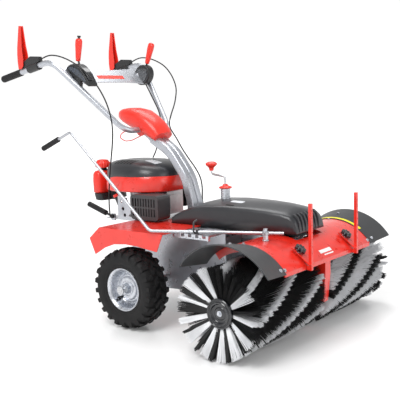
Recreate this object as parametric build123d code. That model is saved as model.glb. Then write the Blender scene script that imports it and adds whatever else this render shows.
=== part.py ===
"""Walk behind sweeper: two-wheeled petrol tractor with a swivelling full-width brush head.

Places are written in millimetres from the point on the ground below the wheel axle:
X forward, Y to the machine's left, Z up.  save() moves every piece by ORIGIN_X, so that
the written parts have their origin on the ground in the middle of the machine's footprint.
"""
import math
import os

from build123d import *

# ---------------------------------------------------------------- driving dimensions
ORIGIN_X = 58.2            # axle's place ahead of the middle of the footprint

TYRE_R = 165.0
TYRE_IN, TYRE_OUT = 302.0, 420.0
RIM_R = 88.0
AXLE_R = 10.0

DECK_Z = 402.0             # underside of the red deck cover
FRAME_TOP = 396.0          # underside of the engine plate
FRAME_Y = 150.0            # centre of each frame side plate
SHEET = 2.5

NECK_Z = 357.0             # middle of the neck that carries the brush head
PIVOT_R = 25.0
LEG_R = 13.8

BRUSH_X, BRUSH_Z = 548.0, 172.0
BRUSH_R = 172.0
BRUSH_IN, BRUSH_END = 28.0, 478.0
BRUSH_FLARE = 524.0
HUB_R = 48.0
SPINDLE_R = 14.0
BLADES = 16
COVER_R = 218.0
COVER_Y = 327.0
COVER_FRONT, COVER_REAR = 38.0, 128.0
GUARD_Y = 467.0
GUARD_R_IN, GUARD_R_OUT = 220.0, 243.0
GUARD_FRONT, GUARD_REAR = 36.0, 144.0

ENGINE_X = -235.0
SHAFT_R = 11.0
BELT_Z = 382.0
AXLE_BELT_Z = 363.0
AXLE_PULLEY_X, AXLE_PULLEY_R = -60.0, 34.0
ENGINE_PULLEY_R, HEAD_PULLEY_R = 36.0, 50.0

COLUMN_Y = 18.0
CROSS_X, CROSS_Z = -213.0, 792.0
TUBE_R = 13.0
ARM_Y = 290.0
ARM_LOW_Y = 145.0
ARM_TOP_X, ARM_TOP_Z = -508.0, 1108.0
GRIP_END_X, GRIP_END_Z = -855.0, 1043.0

LEVER_X, LEVER_Z = -707.0, 1088.0
BOX_Y = 214.0
SLOT_HALF = 10.5
BOX_RIGHT, BOX_LEFT = (-393.0, 1052.0), (-421.0, 1047.0)
CRANK_X = 222.0
KNOB_POST_X = 150.0        # pin of the crank's knob
SPINDLE_ROD_R = 7.0        # threaded height spindle
POST_X, POST_Y = 735.0, 177.0
POST_W = 12.0
KNOB_SLOPE = 53.0          # angle of the post's foot and knob round the brush cover
ROD_R = 6.0
ROD_Z = 418.0
ROD_Y = -400.0
ROD_BEND_X = 151.0
ROD_PIN_X, ROD_PIN_Y = 570.0, -222.0
LATCH_X = 330.0
RACK_Y = -324.0
RUN = 0.05                 # radial running clearance of a shaft in its bore
GAP = 0.3                  # clearance between faces of different bodies
CABLE_R = 3.0

SIDES = {"right": -1, "left": 1}


# ---------------------------------------------------------------- helpers
def block(x0, x1, y0, y1, z0, z1):
    """A box between two corners."""
    middle = ((x0 + x1) / 2, (y0 + y1) / 2, (z0 + z1) / 2)
    return Pos(*middle) * Box(abs(x1 - x0), abs(y1 - y0), abs(z1 - z0))


def bar(start, end, radius):
    """A round bar from one point to another."""
    start, end = Vector(*start), Vector(*end)
    line = end - start
    plane = Plane(origin=start, z_dir=line.normalized())
    return extrude(plane * Circle(radius), amount=line.length)


def side_plate(points, y0, y1):
    """A plate with an X-Z outline, between two Y planes."""
    outline = make_face(Polyline(*[(x, y0, z) for x, z in points], close=True))
    return extrude(outline, amount=y1 - y0, dir=(0, 1, 0))


def flat_plate(points, z0, z1):
    """A plate with an X-Y outline, between two Z planes."""
    outline = make_face(Polyline(*[(x, y, z0) for x, y in points], close=True))
    return extrude(outline, amount=z1 - z0, dir=(0, 0, 1))


def tube(points, radius, radii, wall=0.0):
    """A round bar, or a tube with a wall, along straight runs with tangent arcs."""
    path = FilletPolyline(*points, radius=radii)
    section = Circle(radius) - Circle(radius - wall) if wall else Circle(radius)
    profile = Plane(origin=path @ 0, z_dir=path % 0) * section
    return sweep(profile, path=path)


def easy_radii(points, share=0.45):
    """Arc radii as large as the two runs beside each corner allow."""
    radii = []
    for before, corner, after in zip(points, points[1:], points[2:]):
        one = Vector(*corner) - Vector(*before)
        two = Vector(*after) - Vector(*corner)
        turn = math.radians(one.get_angle(two))
        radii.append(share * min(one.length, two.length) / math.tan(turn / 2))
    return radii


def turned(profile_points, x, z, start=0.0, sweep_angle=360.0):
    """A solid of revolution about a line along Y: points are (radius, y)."""
    outline = make_face(Polyline(*[(x + r, y, z) for r, y in profile_points], close=True))
    axis = Axis((x, 0, z), (0, -1, 0))
    body = revolve(outline, axis=axis, revolution_arc=sweep_angle)
    return body.rotate(axis, start) if start else body


def upright(profile_points, x, y):
    """A solid of revolution about a vertical line: points are (radius, z)."""
    outline = make_face(Polyline(*[(x + r, y, z) for r, z in profile_points], close=True))
    return revolve(outline, axis=Axis((x, y, 0), (0, 0, 1)))


def arc_shell(r_in, r_out, y0, y1, a0, a1, x=BRUSH_X, z=BRUSH_Z):
    """A curved sheet about a line along Y, between two angles from +X."""
    points = [(r_in, y0), (r_out, y0), (r_out, y1), (r_in, y1)]
    return turned(points, x, z, a0, a1 - a0)


def mirrored(shape):
    return mirror(shape, about=Plane.XZ)


def save(node, shape):
    """Write one piece, moved so that the footprint's middle is the origin."""
    shape = Pos(ORIGIN_X, 0, 0) * shape
    export_step(shape, "parts/" + node + ".step")


# ---------------------------------------------------------------- chassis
def main_frame():
    outline = [(-190, FRAME_TOP), (-190, 250), (-120, 110), (250, 130), (330, 270), (330, FRAME_TOP)]
    plates = []
    for side in (-1, 1):
        y = side * FRAME_Y
        plate = side_plate(outline, y - 2, y + 2)
        plate -= bar((0, y - 5, TYRE_R), (0, y + 5, TYRE_R), AXLE_R + RUN)
        plates.append(plate)
    engine_plate = block(-345, 150, -FRAME_Y - 2, FRAME_Y + 2, FRAME_TOP, FRAME_TOP + 4)
    engine_plate -= Pos(ENGINE_X, 0, FRAME_TOP + 2) * Cylinder(45, 10)
    engine_plate -= block(15, 95, -34.7, 34.7, FRAME_TOP - 5, FRAME_TOP + 10)
    frame = plates[0] + plates[1] + engine_plate
    inner = FRAME_Y - 2
    frame += block(-190, -186, -inner, inner, 250, 345)
    frame += block(326, 330, -inner, inner, 280, 366)
    frame += block(146, 150, -inner, inner, 175, 345)
    # the neck that carries the brush head's vertical pivot
    neck = block(328, BRUSH_X, -38, 38, NECK_Z - 9, NECK_Z + 9)
    neck += Pos(BRUSH_X, 0, NECK_Z) * Cylinder(44, 18)
    neck -= Pos(BRUSH_X, 0, NECK_Z) * Cylinder(PIVOT_R + RUN, 30)
    frame += neck
    # column feet
    for side in (-1, 1):
        y = side * 36.3
        frame += side_plate([(20, 298), (90, 298), (90, 397), (20, 397)], y - 1.5, y + 1.5)
    frame += block(20, 90, -37.8, 37.8, 296, 300)
    # stay of the engine plate, with lightening holes
    stay = side_plate([(-270, 396), (-160, 396), (-208, 486), (-266, 505)], -155, -151.5)
    for x, z, radius in ((-244, 478, 6), (-236, 446, 8), (-226, 418, 8), (-194, 418, 6)):
        stay -= bar((x, -160, z), (x, -145, z), radius)
    frame += stay
    # lug of the wheel-drive release lever
    frame += block(-312, -288, -156, -150, 390, 420)
    frame -= bar((-300, -160, 408), (-300, -140, 408), 4 + RUN)
    # guide brackets for the steering rack, and the front tube of the jockey wheel
    for x in (206, 330):
        frame += block(x, x + 14, RACK_Y + 2, -FRAME_Y, 388, FRAME_TOP)
    frame += block(185, 262, -inner, inner, 300, 306)
    frame -= Pos(CRANK_X, 0, 303) * Cylinder(LEG_R + RUN, 40)
    return frame


def transaxle_housing():
    case = block(-62, 78, -52, 52, 108, 250)
    case = fillet(case.edges().filter_by(Axis.Y), 24)
    tube_len = FRAME_Y - 3
    case += bar((0, -tube_len, TYRE_R), (0, tube_len, TYRE_R), 24)
    case += Pos(AXLE_PULLEY_X + 26, 0, 240) * Box(90, 60, 40)
    case += Pos(AXLE_PULLEY_X, 0, 270) * Cylinder(22, 100)
    case -= Pos(AXLE_PULLEY_X, 0, 290) * Cylinder(9 + RUN, 100)
    case -= bar((0, -300, TYRE_R), (0, 300, TYRE_R), AXLE_R + RUN)
    return case


def transaxle_pulley():
    """Input shaft of the wheel drive with its belt pulley."""
    shaft = Pos(AXLE_PULLEY_X, 0, 306) * Cylinder(9, 128)
    z = AXLE_BELT_Z
    groove = [(8, z - 8), (AXLE_PULLEY_R + 4, z - 8), (AXLE_PULLEY_R - 6, z),
              (AXLE_PULLEY_R + 4, z + 8), (8, z + 8)]
    return shaft + upright(groove, AXLE_PULLEY_X, 0)


def wheel_axle():
    shaft = bar((0, -430, TYRE_R), (0, 430, TYRE_R), AXLE_R)
    for side in (-1, 1):
        y = side * 424
        shaft += bar((0, y, TYRE_R), (0, y + side * 4, TYRE_R), 17)
    return shaft


def rim(side):
    """Deep-dish steel wheel: barrel with flanges, stepped disc and hub sleeve."""
    y_mid = side * (TYRE_IN + TYRE_OUT) / 2
    half = (TYRE_OUT - TYRE_IN) / 2 - 8
    barrel = turned([(70, -half), (RIM_R, -half), (RIM_R, -half + 4), (76, -half + 10),
                     (76, half - 10), (RIM_R, half - 4), (RIM_R, half), (70, half)], 0, TYRE_R)
    disc = turned([(20, 14), (44, 14), (50, 24), (71, 6), (71, 2), (50, 19), (44, 10), (20, 10)], 0, TYRE_R)
    hub = turned([(AXLE_R + RUN, -half), (20.5, -half), (20.5, half), (AXLE_R + RUN, half)], 0, TYRE_R)
    wheel = barrel + disc + hub
    if side < 0:
        wheel = mirrored(wheel)
    return Pos(0, y_mid, 0) * wheel


def tyre(side):
    """Balloon tyre carcass with its bead against the rim."""
    y_mid = side * (TYRE_IN + TYRE_OUT) / 2
    half = (TYRE_OUT - TYRE_IN) / 2
    points = [(76.2, -38), (88, -45), (104, -half), (138, -half), (156, -52), (TYRE_R, -36),
              (TYRE_R, 36), (156, 52), (138, half), (104, half), (88, 45), (76.2, 38),
              (100, 30), (134, 36), (140, 0), (134, -36), (100, -30)]
    return Pos(0, y_mid, 0) * turned(points, 0, TYRE_R)


def rear_deck_cover():
    """Red deck that slopes down behind, with an arched skirt above each wheel."""
    skirt_y, rear, front = 385.0, -150, 200
    low_x, low_z = -211, 354
    top = DECK_Z + SHEET
    arch = [(-179, 288), (-120, 322), (-66, 341), (0, 347), (66, 345), (120, 338), (169, 333), (front, 399)]
    cover = side_plate([(rear, top), (low_x, low_z)] + arch + [(front, top)], -skirt_y, skirt_y)
    beyond = low_x - 10
    corner = rear + 0.9
    slope = (top - low_z) / (rear - low_x)
    under = [(beyond, DECK_Z - slope * (corner - beyond)), (corner, DECK_Z), (front + 10, DECK_Z),
             (front + 10, 270), (beyond, 270)]
    cover -= side_plate(under, SHEET - skirt_y, skirt_y - SHEET)
    # openings for the engine, the column and the height crank
    cover -= block(low_x - 20, -30, -162, 162, 300, top + 5)
    cover -= block(-31, 100, -46, 46, DECK_Z - 5, top + 5)
    return cover - Pos(CRANK_X, 0, DECK_Z) * Cylinder(23, 20)


def belt_hood():
    """Black cover over the belt run, open below, with slots at its front."""
    wall = 3.0
    side = [(50, 405), (50, 440), (85, 460), (130, 478), (188, 497), (420, 507), (585, 496), (640, 470),
            (655, 420), (655, 397), (204, 397), (204, 405)]
    plan = [(40, -157), (150, -150), (420, -126), (640, -106), (655, -96),
            (655, 96), (640, 106), (420, 126), (150, 150), (40, 157)]
    inside = [(50 + wall, 390), (50 + wall, 438), (86, 457), (131, 475), (188, 497 - wall), (420, 507 - wall),
              (585, 496 - wall), (637, 468), (651, 420), (651, 390)]
    inner_plan = [(40, -154), (150, -147), (420, -123), (638, -103), (652, -94),
                  (652, 94), (638, 103), (420, 123), (150, 147), (40, 154)]
    skin = side_plate(side, -170, 170) & flat_plate(plan, 390, 520)
    hood = skin - (side_plate(inside, -170, 170) & flat_plate(inner_plan, 380, 520))
    hood -= block(0, 100, -46, 46, 380, 520)
    hood -= Pos(CRANK_X, 0, 490) * Cylinder(22, 60)
    for row in range(5):
        z = 424 + 12 * row
        hood -= block(600, 670, -70, 70, z, z + 5)
    return hood


# ---------------------------------------------------------------- engine
def engine_block():
    """Crankcase with its base flange and finned cylinder pointing forward."""
    base = Pos(ENGINE_X, 0, 405) * Cylinder(100, 10)
    case = Pos(ENGINE_X, 0, 460) * Cylinder(74, 100)
    cylinder = block(-190, -55, -38, 38, 436, 504)
    for fin in range(9):
        x = -168 + 13 * fin
        cylinder += block(x, x + 3, -54, 54, 418, 519)
    block_body = base + case + cylinder
    block_body -= Pos(ENGINE_X, 0, 450) * Cylinder(SHAFT_R + RUN, 130)
    return block_body


def engine_pulley():
    """Crankshaft with the two-groove drive pulley below the engine plate."""
    shaft = Pos(ENGINE_X, 0, 440) * Cylinder(SHAFT_R, 140)
    groove = [(SHAFT_R - 1, 356), (ENGINE_PULLEY_R + 4, 356), (ENGINE_PULLEY_R - 6, 363),
              (ENGINE_PULLEY_R + 4, 370), (ENGINE_PULLEY_R + 4, 374), (ENGINE_PULLEY_R - 6, BELT_Z),
              (ENGINE_PULLEY_R + 4, 390), (SHAFT_R - 1, 390)]
    return shaft + upright(groove, ENGINE_X, 0)


def drive_belts():
    """Belt to the brush head and shorter belt to the transaxle, both running in the frame."""
    def loop(x0, r0, x1, r1, z, height):
        half = height / 2

        def outline(extra):
            rear = Pos(x0, 0, z) * Cylinder(r0 + extra, height)
            front = Pos(x1, 0, z) * Cylinder(r1 + extra, height)
            tilt = (r0 - r1) / (x1 - x0)
            c = math.sqrt(1 - tilt * tilt)
            corners = [(x + (r + extra) * tilt, (r + extra) * c) for x, r in ((x0, r0), (x1, r1))]
            below = [(x, -y) for x, y in reversed(corners)]
            return rear + front + flat_plate(corners + below, z - half, z + half)
        return outline(6) - outline(0)
    grip = GAP
    brush_belt = loop(ENGINE_X, ENGINE_PULLEY_R + grip, BRUSH_X, HEAD_PULLEY_R + grip, BELT_Z, 7)
    axle_belt = loop(ENGINE_X, ENGINE_PULLEY_R + grip, AXLE_PULLEY_X, AXLE_PULLEY_R + grip, AXLE_BELT_Z, 5)
    return Compound([brush_belt.solid(), axle_belt.solid()])


def muffler():
    box = block(-140, -12, -168, -126, 424, 508)
    box = fillet(box.edges().filter_by(Axis.Y), 14)
    return box + bar((-110, -127, 466), (-110, -54.3, 466), 11)


def muffler_guard():
    """Black slotted cage around the silencer."""
    outer = fillet(block(-155, 6, -190, -112, 412, 520).edges().filter_by(Axis.Y), 18)
    inner = fillet(block(-152, 3, -187, -105, 415, 517).edges().filter_by(Axis.Y), 15)
    cage = outer - inner
    for column in range(9):
        x = -143 + 15.5 * column
        for low, high in ((428, 462), (469, 504)):
            cage -= block(x, x + 8, -192, -182, low, high)
    return cage


ENGINE_HALF_PLAN = [(-405, 96), (-372, 140), (-300, 160), (-130, 160), (-72, 128), (-48, 60)]
ENGINE_PLAN = [(x, -y) for x, y in ENGINE_HALF_PLAN] + list(reversed(ENGINE_HALF_PLAN))


def scaled_plan(share):
    """The engine's outline drawn in towards the crankshaft."""
    return [(ENGINE_X + (x - ENGINE_X) * share, y * share) for x, y in ENGINE_PLAN]


def engine_shroud():
    """Red blower housing: a deep band around the top of the engine."""
    band = flat_plate(ENGINE_PLAN, 522, 592) - flat_plate(scaled_plan(0.975), 525, 595)
    return band - Pos(ENGINE_X, 0, 523) * Cylinder(50, 10)


def engine_top_cover():
    """Black top cover, domed in two steps, with cooling slots."""
    cover = flat_plate(ENGINE_PLAN, 592.2, 618) + flat_plate(scaled_plan(0.93), 618, 640)
    cover += flat_plate(scaled_plan(0.80), 640, 656)
    cover -= flat_plate(scaled_plan(0.90), 592, 615)
    for slot in range(5):
        x = -300 + 17 * slot
        cover -= block(x, x + 8, -128, -84, 634, 660)
    return cover


def air_filter_housing():
    case = fillet(block(-200, -90, 112, 176, 432, 512).edges().filter_by(Axis.Y), 12)
    return case + bar((-145, 56, 470), (-145, 114, 470), 14)


def fuel_tank():
    """Red tank behind the engine, with its filler neck."""
    body = fillet(block(-476, -412, -120, 60, 478, 606).edges(), 14)
    neck = Pos(-446, -66, 609) * Cylinder(17, 17)
    foot = block(-440, -400, -100, 40, 466, 482) + block(-402, -330, -60, 20, 466, 472)
    foot += block(-336, -312, -60, 20, 440, 470)
    return body + neck + foot


def fuel_cap():
    x, y, radius = -446, -66, 36
    cap = Pos(x, y, 632) * Cylinder(radius, 28)
    cap += Pos(x, y, 650) * Cylinder(26, 10)
    for notch in range(12):
        angle = math.radians(30 * notch)
        place = Pos(x + (radius + 2) * math.cos(angle), y + (radius + 2) * math.sin(angle), 632)
        cap -= place * Cylinder(4, 40)
    return cap


def oil_filler_tube():
    body = bar((-250, -136, 470), (-260, -136, 405), 14)
    neck = bar((-258, -136, 430), (-286, -142, 494), 10)
    link = bar((-256, -136, 440), (-252, -60, 440), 9)
    return body + neck + link - Pos(ENGINE_X, 0, 440) * Cylinder(74, 200)


def oil_cap():
    return bar((-286.1, -142.02, 494.3), (-291, -143.1, 506), 13)


# ---------------------------------------------------------------- column and shroud
def handle_column():
    """Two curved box tubes side by side, with the clamp for the handlebar on top."""
    runs = [(55, 302), (55, 470), (20, 585), (-60, 690), (-150, 748)]
    column = None
    for side in (-1, 1):
        points = [(x, side * COLUMN_Y, z) for x, z in runs]
        path = FilletPolyline(*points, radius=[170, 170, 170])
        section = RectangleRounded(40, 33, 8) - RectangleRounded(34, 27, 5)
        profile = Plane(origin=path @ 0, x_dir=(1, 0, 0), z_dir=path % 0) * section
        profile_sweep = sweep(profile, path=path)
        column = profile_sweep if column is None else column + profile_sweep
    column += block(42, 68, -3, 3, 303, 468)
    head = side_plate([(-170, 735), (-110, 700), (-96, 716), (-160, 775)], -34, 34)
    clamp = bar((CROSS_X, -34, CROSS_Z), (CROSS_X, 34, CROSS_Z), 25)
    clamp += side_plate([(CROSS_X + 4, CROSS_Z - 20), (-150, 728), (-128, 752), (CROSS_X + 12, CROSS_Z + 20)],
                        -34, 34)
    clamp -= bar((CROSS_X, -60, CROSS_Z), (CROSS_X, 60, CROSS_Z), TUBE_R + RUN)
    return column + head + clamp


def handle_shroud():
    """Red plastic shell around the handlebar clamp."""
    outline = [(-91, 741), (-164, 724), (-272, 772), (-342, 806), (-380, 842), (-382, 872),
               (-340, 892), (-260, 894), (-200, 868), (-120, 790)]
    outer = side_plate(outline, -66, 66)
    outer = chamfer(outer.edges().filter_by(Axis.Y, reverse=True), 14)
    inner = [(-97, 743), (-165, 732), (-269, 780), (-338, 813), (-372, 846), (-374, 868),
             (-338, 885), (-262, 887), (-204, 862), (-124, 786)]
    hollow = side_plate(inner, -60, 60)
    hollow = chamfer(hollow.edges().filter_by(Axis.Y, reverse=True), 14)
    shell = outer - hollow
    shell -= bar((CROSS_X, -80, CROSS_Z), (CROSS_X, 80, CROSS_Z), TUBE_R + 4)
    shell -= side_plate([(-190, 728), (-170, 700), (-60, 690), (-80, 760), (-130, 772)], -39, 39)
    return shell - block(-330, -186, -52, 52, 700, 792)


def handle_bail():
    """Wire loop of the quick release below the shroud."""
    points = [(-214, -42, 765), (-240, -37, 757), (-290, -26, 742), (-340, -18, 738), (-378, -10, 752),
              (-384, 0, 768), (-378, 10, 778), (-350, 20, 786), (-300, 30, 775), (-250, 38, 764),
              (-214, 42, 765)]
    loop = tube(points, 2.5, easy_radii(points, 0.4))
    for side in (-1, 1):
        ring_y = side * 42
        collar = bar((CROSS_X, ring_y - 3, CROSS_Z), (CROSS_X, ring_y + 3, CROSS_Z), 28)
        collar -= bar((CROSS_X, ring_y - 5, CROSS_Z), (CROSS_X, ring_y + 5, CROSS_Z), TUBE_R + GAP)
        loop += collar
    return loop


# ---------------------------------------------------------------- handlebar
RIGHT_ARM = [(GRIP_END_X, -ARM_Y, GRIP_END_Z), (ARM_TOP_X, -ARM_Y, ARM_TOP_Z), (CROSS_X, -ARM_LOW_Y, CROSS_Z)]
BAR_ROUTE = RIGHT_ARM + [(x, -y, z) for x, y, z in reversed(RIGHT_ARM)]
BAR_RADII = [90, 70, 70, 90]
ARM_RUN = Vector(ARM_TOP_X - GRIP_END_X, 0, ARM_TOP_Z - GRIP_END_Z).normalized()


def handlebar_tube():
    return tube(BAR_ROUTE, TUBE_R, BAR_RADII, wall=2.5)


def tube_envelope():
    """The handlebar without its bore, for cutting the pieces that clamp round it."""
    return tube(BAR_ROUTE, TUBE_R, BAR_RADII)


def arm_point(share):
    """A point on the right arm: 0 at the top bend, 1 at the low bend."""
    return (ARM_TOP_X + (CROSS_X - ARM_TOP_X) * share,
            -ARM_Y + (ARM_Y - ARM_LOW_Y) * share,
            ARM_TOP_Z + (CROSS_Z - ARM_TOP_Z) * share)


def crossbar_plate():
    """Pressed panel between the arms, hollowed along its top and arched along its bottom."""
    thickness = 5.0
    top, low = arm_point(0.05), arm_point(0.337)
    left = [(top, -top[1] - TUBE_R - 3), (arm_point(0.112), 150)]
    right = [(place, -y) for place, y in reversed(left)]
    corners = left + [(arm_point(0.137), 0)] + right
    corners += [(low, low[1] + TUBE_R)] + [(arm_point(0.312), y) for y in (-90, 0, 90)]
    corners += [(low, -low[1] - TUBE_R)]
    outline = make_face(Polyline(*[(place[0], y, place[2]) for place, y in corners], close=True))
    normal = (ARM_TOP_Z - CROSS_Z, 0, CROSS_X - ARM_TOP_X)
    plate = extrude(outline, amount=thickness, dir=normal) - tube_envelope() - box_case(-1) - box_case(1)
    return max(plate.solids(), key=lambda solid: solid.volume)


def handle_grips():
    grips = []
    length, cap, radius = 138, 3, 16.5
    for side in (-1, 1):
        end = Vector(GRIP_END_X, side * ARM_Y, GRIP_END_Z)
        inner_end = end + ARM_RUN * length
        sleeve = bar(tuple(end - ARM_RUN * cap), tuple(inner_end), radius)
        sleeve -= bar(tuple(end), tuple(inner_end + ARM_RUN * 5), TUBE_R)
        grips.append(sleeve.solid())
    return Compound(grips)


def lever_brackets():
    """Black clamps on the tube, each with the boss of a clutch lever's pivot."""
    clamps = []
    for side in (-1, 1):
        y = side * ARM_Y
        middle = Vector(GRIP_END_X, y, GRIP_END_Z) + ARM_RUN * 228
        clamp = bar(tuple(middle - ARM_RUN * 30), tuple(middle + ARM_RUN * 42), 19)
        clamp += side_plate([(-716, 1084), (-676, 1086), (-600, 1100), (-578, 1112), (-584, 1132),
                             (-640, 1136), (-690, 1112), (-712, 1100)], y - 11, y + 11)
        clamp -= bar((GRIP_END_X, y, GRIP_END_Z), (ARM_TOP_X, y, ARM_TOP_Z), TUBE_R)
        clamp -= bar((LEVER_X, y - 20, LEVER_Z + 2), (LEVER_X, y + 20, LEVER_Z + 2), 4 + RUN)
        clamps.append(clamp.solid())
    return Compound(clamps)


def clutch_lever(side):
    """Red channel-shaped lever, narrower at its tip, that folds back onto the grip."""
    y = side * ARM_Y
    z0 = LEVER_Z + 2
    cheek, inside = 17.0, 13.5

    def front_view(half):
        """The lever's outline seen along X, for one half width at the pivot."""
        tip = half - 9
        points = [(-half, -20), (half, -20), (half, 60), (tip, 187), (-tip, 187), (-half, 60)]
        face = make_face(Polyline(*[(-745, y + across, z0 + up) for across, up in points], close=True))
        return extrude(face, amount=75, dir=(1, 0, 0))

    outline = [(-718, z0 - 8), (-700, z0 - 8), (-686, z0 + 6), (-684, z0 + 34), (-694, z0 + 100),
               (-699, z0 + 186), (-712, z0 + 187), (-722, z0 + 90), (-722, z0 + 25)]
    lever = side_plate(outline, y - cheek, y + cheek) & front_view(cheek)
    channel = [(-740, z0 - 20), (-680, z0 - 20), (-680, z0 + 180), (-707, z0 + 180), (-717, z0 + 90),
               (-717, z0 + 25), (-740, z0 + 25)]
    lever -= side_plate(channel, y - inside, y + inside) & front_view(inside)
    lever += bar((LEVER_X, y - cheek, z0), (LEVER_X, y + cheek, z0), 4)
    return lever


def box_case(side):
    """Closed shape of a lever housing: long with an arched top on the right, oval on the left."""
    y = side * BOX_Y
    if side < 0:
        case = [(-468, 1075), (-440, 1058), (-325, 987), (-326, 998), (-340, 1024), (-372, 1062),
                (-398, 1082), (-420, 1091), (-446, 1088)]
        foot = side_plate([(-445, 1066), (-372, 1022), (-385, 972), (-428, 1012)], y - 26, y - 7)
        return side_plate(case, y - 26, y + 26) + foot
    x, z = BOX_LEFT
    lean = Vector(CROSS_X - ARM_TOP_X, 0, CROSS_Z - ARM_TOP_Z).normalized()
    up = Vector(-lean.Z, 0, lean.X)
    case = []
    for turn in range(0, 360, 20):
        angle = math.radians(turn)
        place = Vector(x, 0, z) + lean * (46 * math.cos(angle)) + up * (52 * math.sin(angle))
        case.append((place.X, place.Z))
    return side_plate(case, y - 18, y + 22)


def control_box(side):
    """Lever housing beside the arm, with the slot that its lever swings in."""
    y = side * BOX_Y
    if side < 0:
        slot = [(-455, 1072.3), (-342, 1002.7), (-300, 1100), (-455, 1130)]
    else:
        x, z = BOX_LEFT
        slot = [(x - 30, z - 14), (x + 26, z - 14), (x + 62, z + 90), (x - 40, z + 90)]
    return box_case(side) - tube_envelope() - side_plate(slot, y - SLOT_HALF, y + SLOT_HALF)


def control_stem(side):
    """Lever that leans out of the control box, with a red handle on its stem."""
    y = side * BOX_Y
    pivot = BOX_RIGHT if side < 0 else BOX_LEFT
    base, top = ((-417, 1091), (-402, 1201)) if side < 0 else ((-398, 1100), (-361, 1196))
    stem = bar((pivot[0], y, pivot[1]), (base[0], y, base[1] + 8), 4)
    stem += bar((pivot[0], y - SLOT_HALF + 0.4, pivot[1]), (pivot[0], y + SLOT_HALF - 0.4, pivot[1]), 9)
    lean = Vector(top[0] - base[0], 0, top[1] - base[1]).normalized()
    plane = Plane(origin=(base[0], y, base[1]), x_dir=(lean.Z, 0, -lean.X), z_dir=lean)
    length = math.dist(base, top)
    handle = extrude(plane * RectangleRounded(26, 18, 7), amount=length, taper=-1.5)
    return stem + handle, top, y, lean


def speed_lever():
    lever, top, y, lean = control_stem(-1)
    end = Vector(top[0], y, top[1])
    return lever - bar(tuple(end - lean * 20), tuple(end + lean * 5), 5 + RUN)


def lever_button():
    lever, top, y, lean = control_stem(-1)
    end = Vector(top[0], y, top[1])
    button = bar(tuple(end - lean * 14), tuple(end + lean * 4), 5)
    return button + bar(tuple(end + lean * 4.6), tuple(end + lean * 12), 8) + bar(
        tuple(end + lean * 3), tuple(end + lean * 6), 5)


def throttle_lever():
    return control_stem(1)[0]


# ---------------------------------------------------------------- cables
RIGHT_CABLE = [(-574, -290, 1120), (-530, -291, 1134), (-468, -294, 1130), (-400, -297, 1112),
               (-330, -300, 1082), (-268, -298, 1042), (-218, -292, 990), (-186, -280, 930),
               (-176, -264, 868), (-184, -246, 806), (-206, -230, 744), (-230, -218, 682),
               (-250, -210, 620), (-266, -204, 556), (-276, -200, 492), (-280, -196, 436), (-281, -192, 412)]
LEFT_CABLE = [(-574, 290, 1120), (-530, 290, 1138), (-470, 288, 1136), (-404, 284, 1118),
              (-340, 278, 1088), (-290, 266, 1046), (-252, 248, 1004), (-223, 224, 969),
              (-198, 188, 934), (-175, 150, 899), (-163, 108, 852), (-153, 78, 802), (-104, 72, 752),
              (-60, 56, 706), (-18, 48, 664), (23, 45, 623), (56, 43, 578), (64, 42, 530), (60, 42, 485),
              (66, 42, 448)]
THROTTLE_CABLE = [(-402, 206, 1000), (-368, 194, 962), (-320, 173, 914), (-278, 156, 870),
                  (-249, 134, 828), (-238, 106, 790), (-228, 84, 752), (-216, 66, 716), (-214, 52, 686),
                  (-226, 44, 660)]


def cable(points):
    return tube(points, CABLE_R, easy_radii(points))


# ---------------------------------------------------------------- steering
def steering_rack():
    """Toothed guide with square notches for the rod's latch."""
    start, end = 204, 386
    bottom, top = 387, 406
    rack = block(start, end, RACK_Y - 2, RACK_Y + 2, bottom, top)
    for notch in range(5):
        x = start + 8 + 35 * notch
        rack -= block(x, x + 16, RACK_Y - 5, RACK_Y + 5, bottom + 7, top + 6)
        rack -= Pos(x + 25, RACK_Y, bottom + 6) * Rot(90, 0, 0) * Cylinder(2.5, 10)
    return rack + block(end - 6, end, RACK_Y - 8, RACK_Y + 2, bottom, top)


ROD_ROUTE = [(-454, ROD_Y, 730), (-280, ROD_Y, 799), (ROD_BEND_X, ROD_Y, ROD_Z), (633, -195, ROD_Z)]
ROD_SLOPE = (ROD_PIN_Y - ROD_Y) / (ROD_PIN_X - ROD_BEND_X)


def steering_rod():
    rod = tube(ROD_ROUTE, ROD_R, [20, 30])
    rod += Pos(ROD_PIN_X, ROD_PIN_Y, ROD_Z) * Cylinder(13, 12)
    return rod - Pos(ROD_PIN_X, ROD_PIN_Y, ROD_Z) * Cylinder(5 + RUN, 30)


def rod_grip():
    end, knee = Vector(*ROD_ROUTE[0]), Vector(*ROD_ROUTE[1])
    run = (knee - end).normalized()
    grip = bar(tuple(end - run * 8), tuple(end + run * 104), 11)
    return grip - bar(tuple(end), tuple(end + run * 120), ROD_R)


def rod_latch():
    """Hooked catch that hangs over the rod and drops into the rack's notch."""
    x = LATCH_X
    y = ROD_Y + (x - ROD_BEND_X) * ROD_SLOPE
    run = Vector(1, ROD_SLOPE, 0).normalized() * 30
    ring = bar((x - 4, y, ROD_Z), (x + 4, y, ROD_Z), 10)
    ring -= bar((x - run.X, y - run.Y, ROD_Z), (x + run.X, y + run.Y, ROD_Z), ROD_R + 1)
    hook = tube([(x, y - 10, ROD_Z - 4), (x, y - 26, ROD_Z + 2), (x, y - 24, ROD_Z + 40),
                 (x, y - 4, ROD_Z + 46)], 3.5, [7, 9])
    return ring + hook


# ---------------------------------------------------------------- height crank and jockey wheels
def crank_sleeve():
    """Ribbed sleeve on the hood around the height spindle."""
    points = [(LEG_R + GAP, 306.2), (17, 306.2), (17, 498)]
    for rib in range(5):
        z = 498 + 9 * rib
        points += [(21, z), (21, z + 5), (18, z + 5), (18, z + 9)]
    points += [(LEG_R + GAP, 543)]
    return upright(points, CRANK_X, 0)


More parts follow.
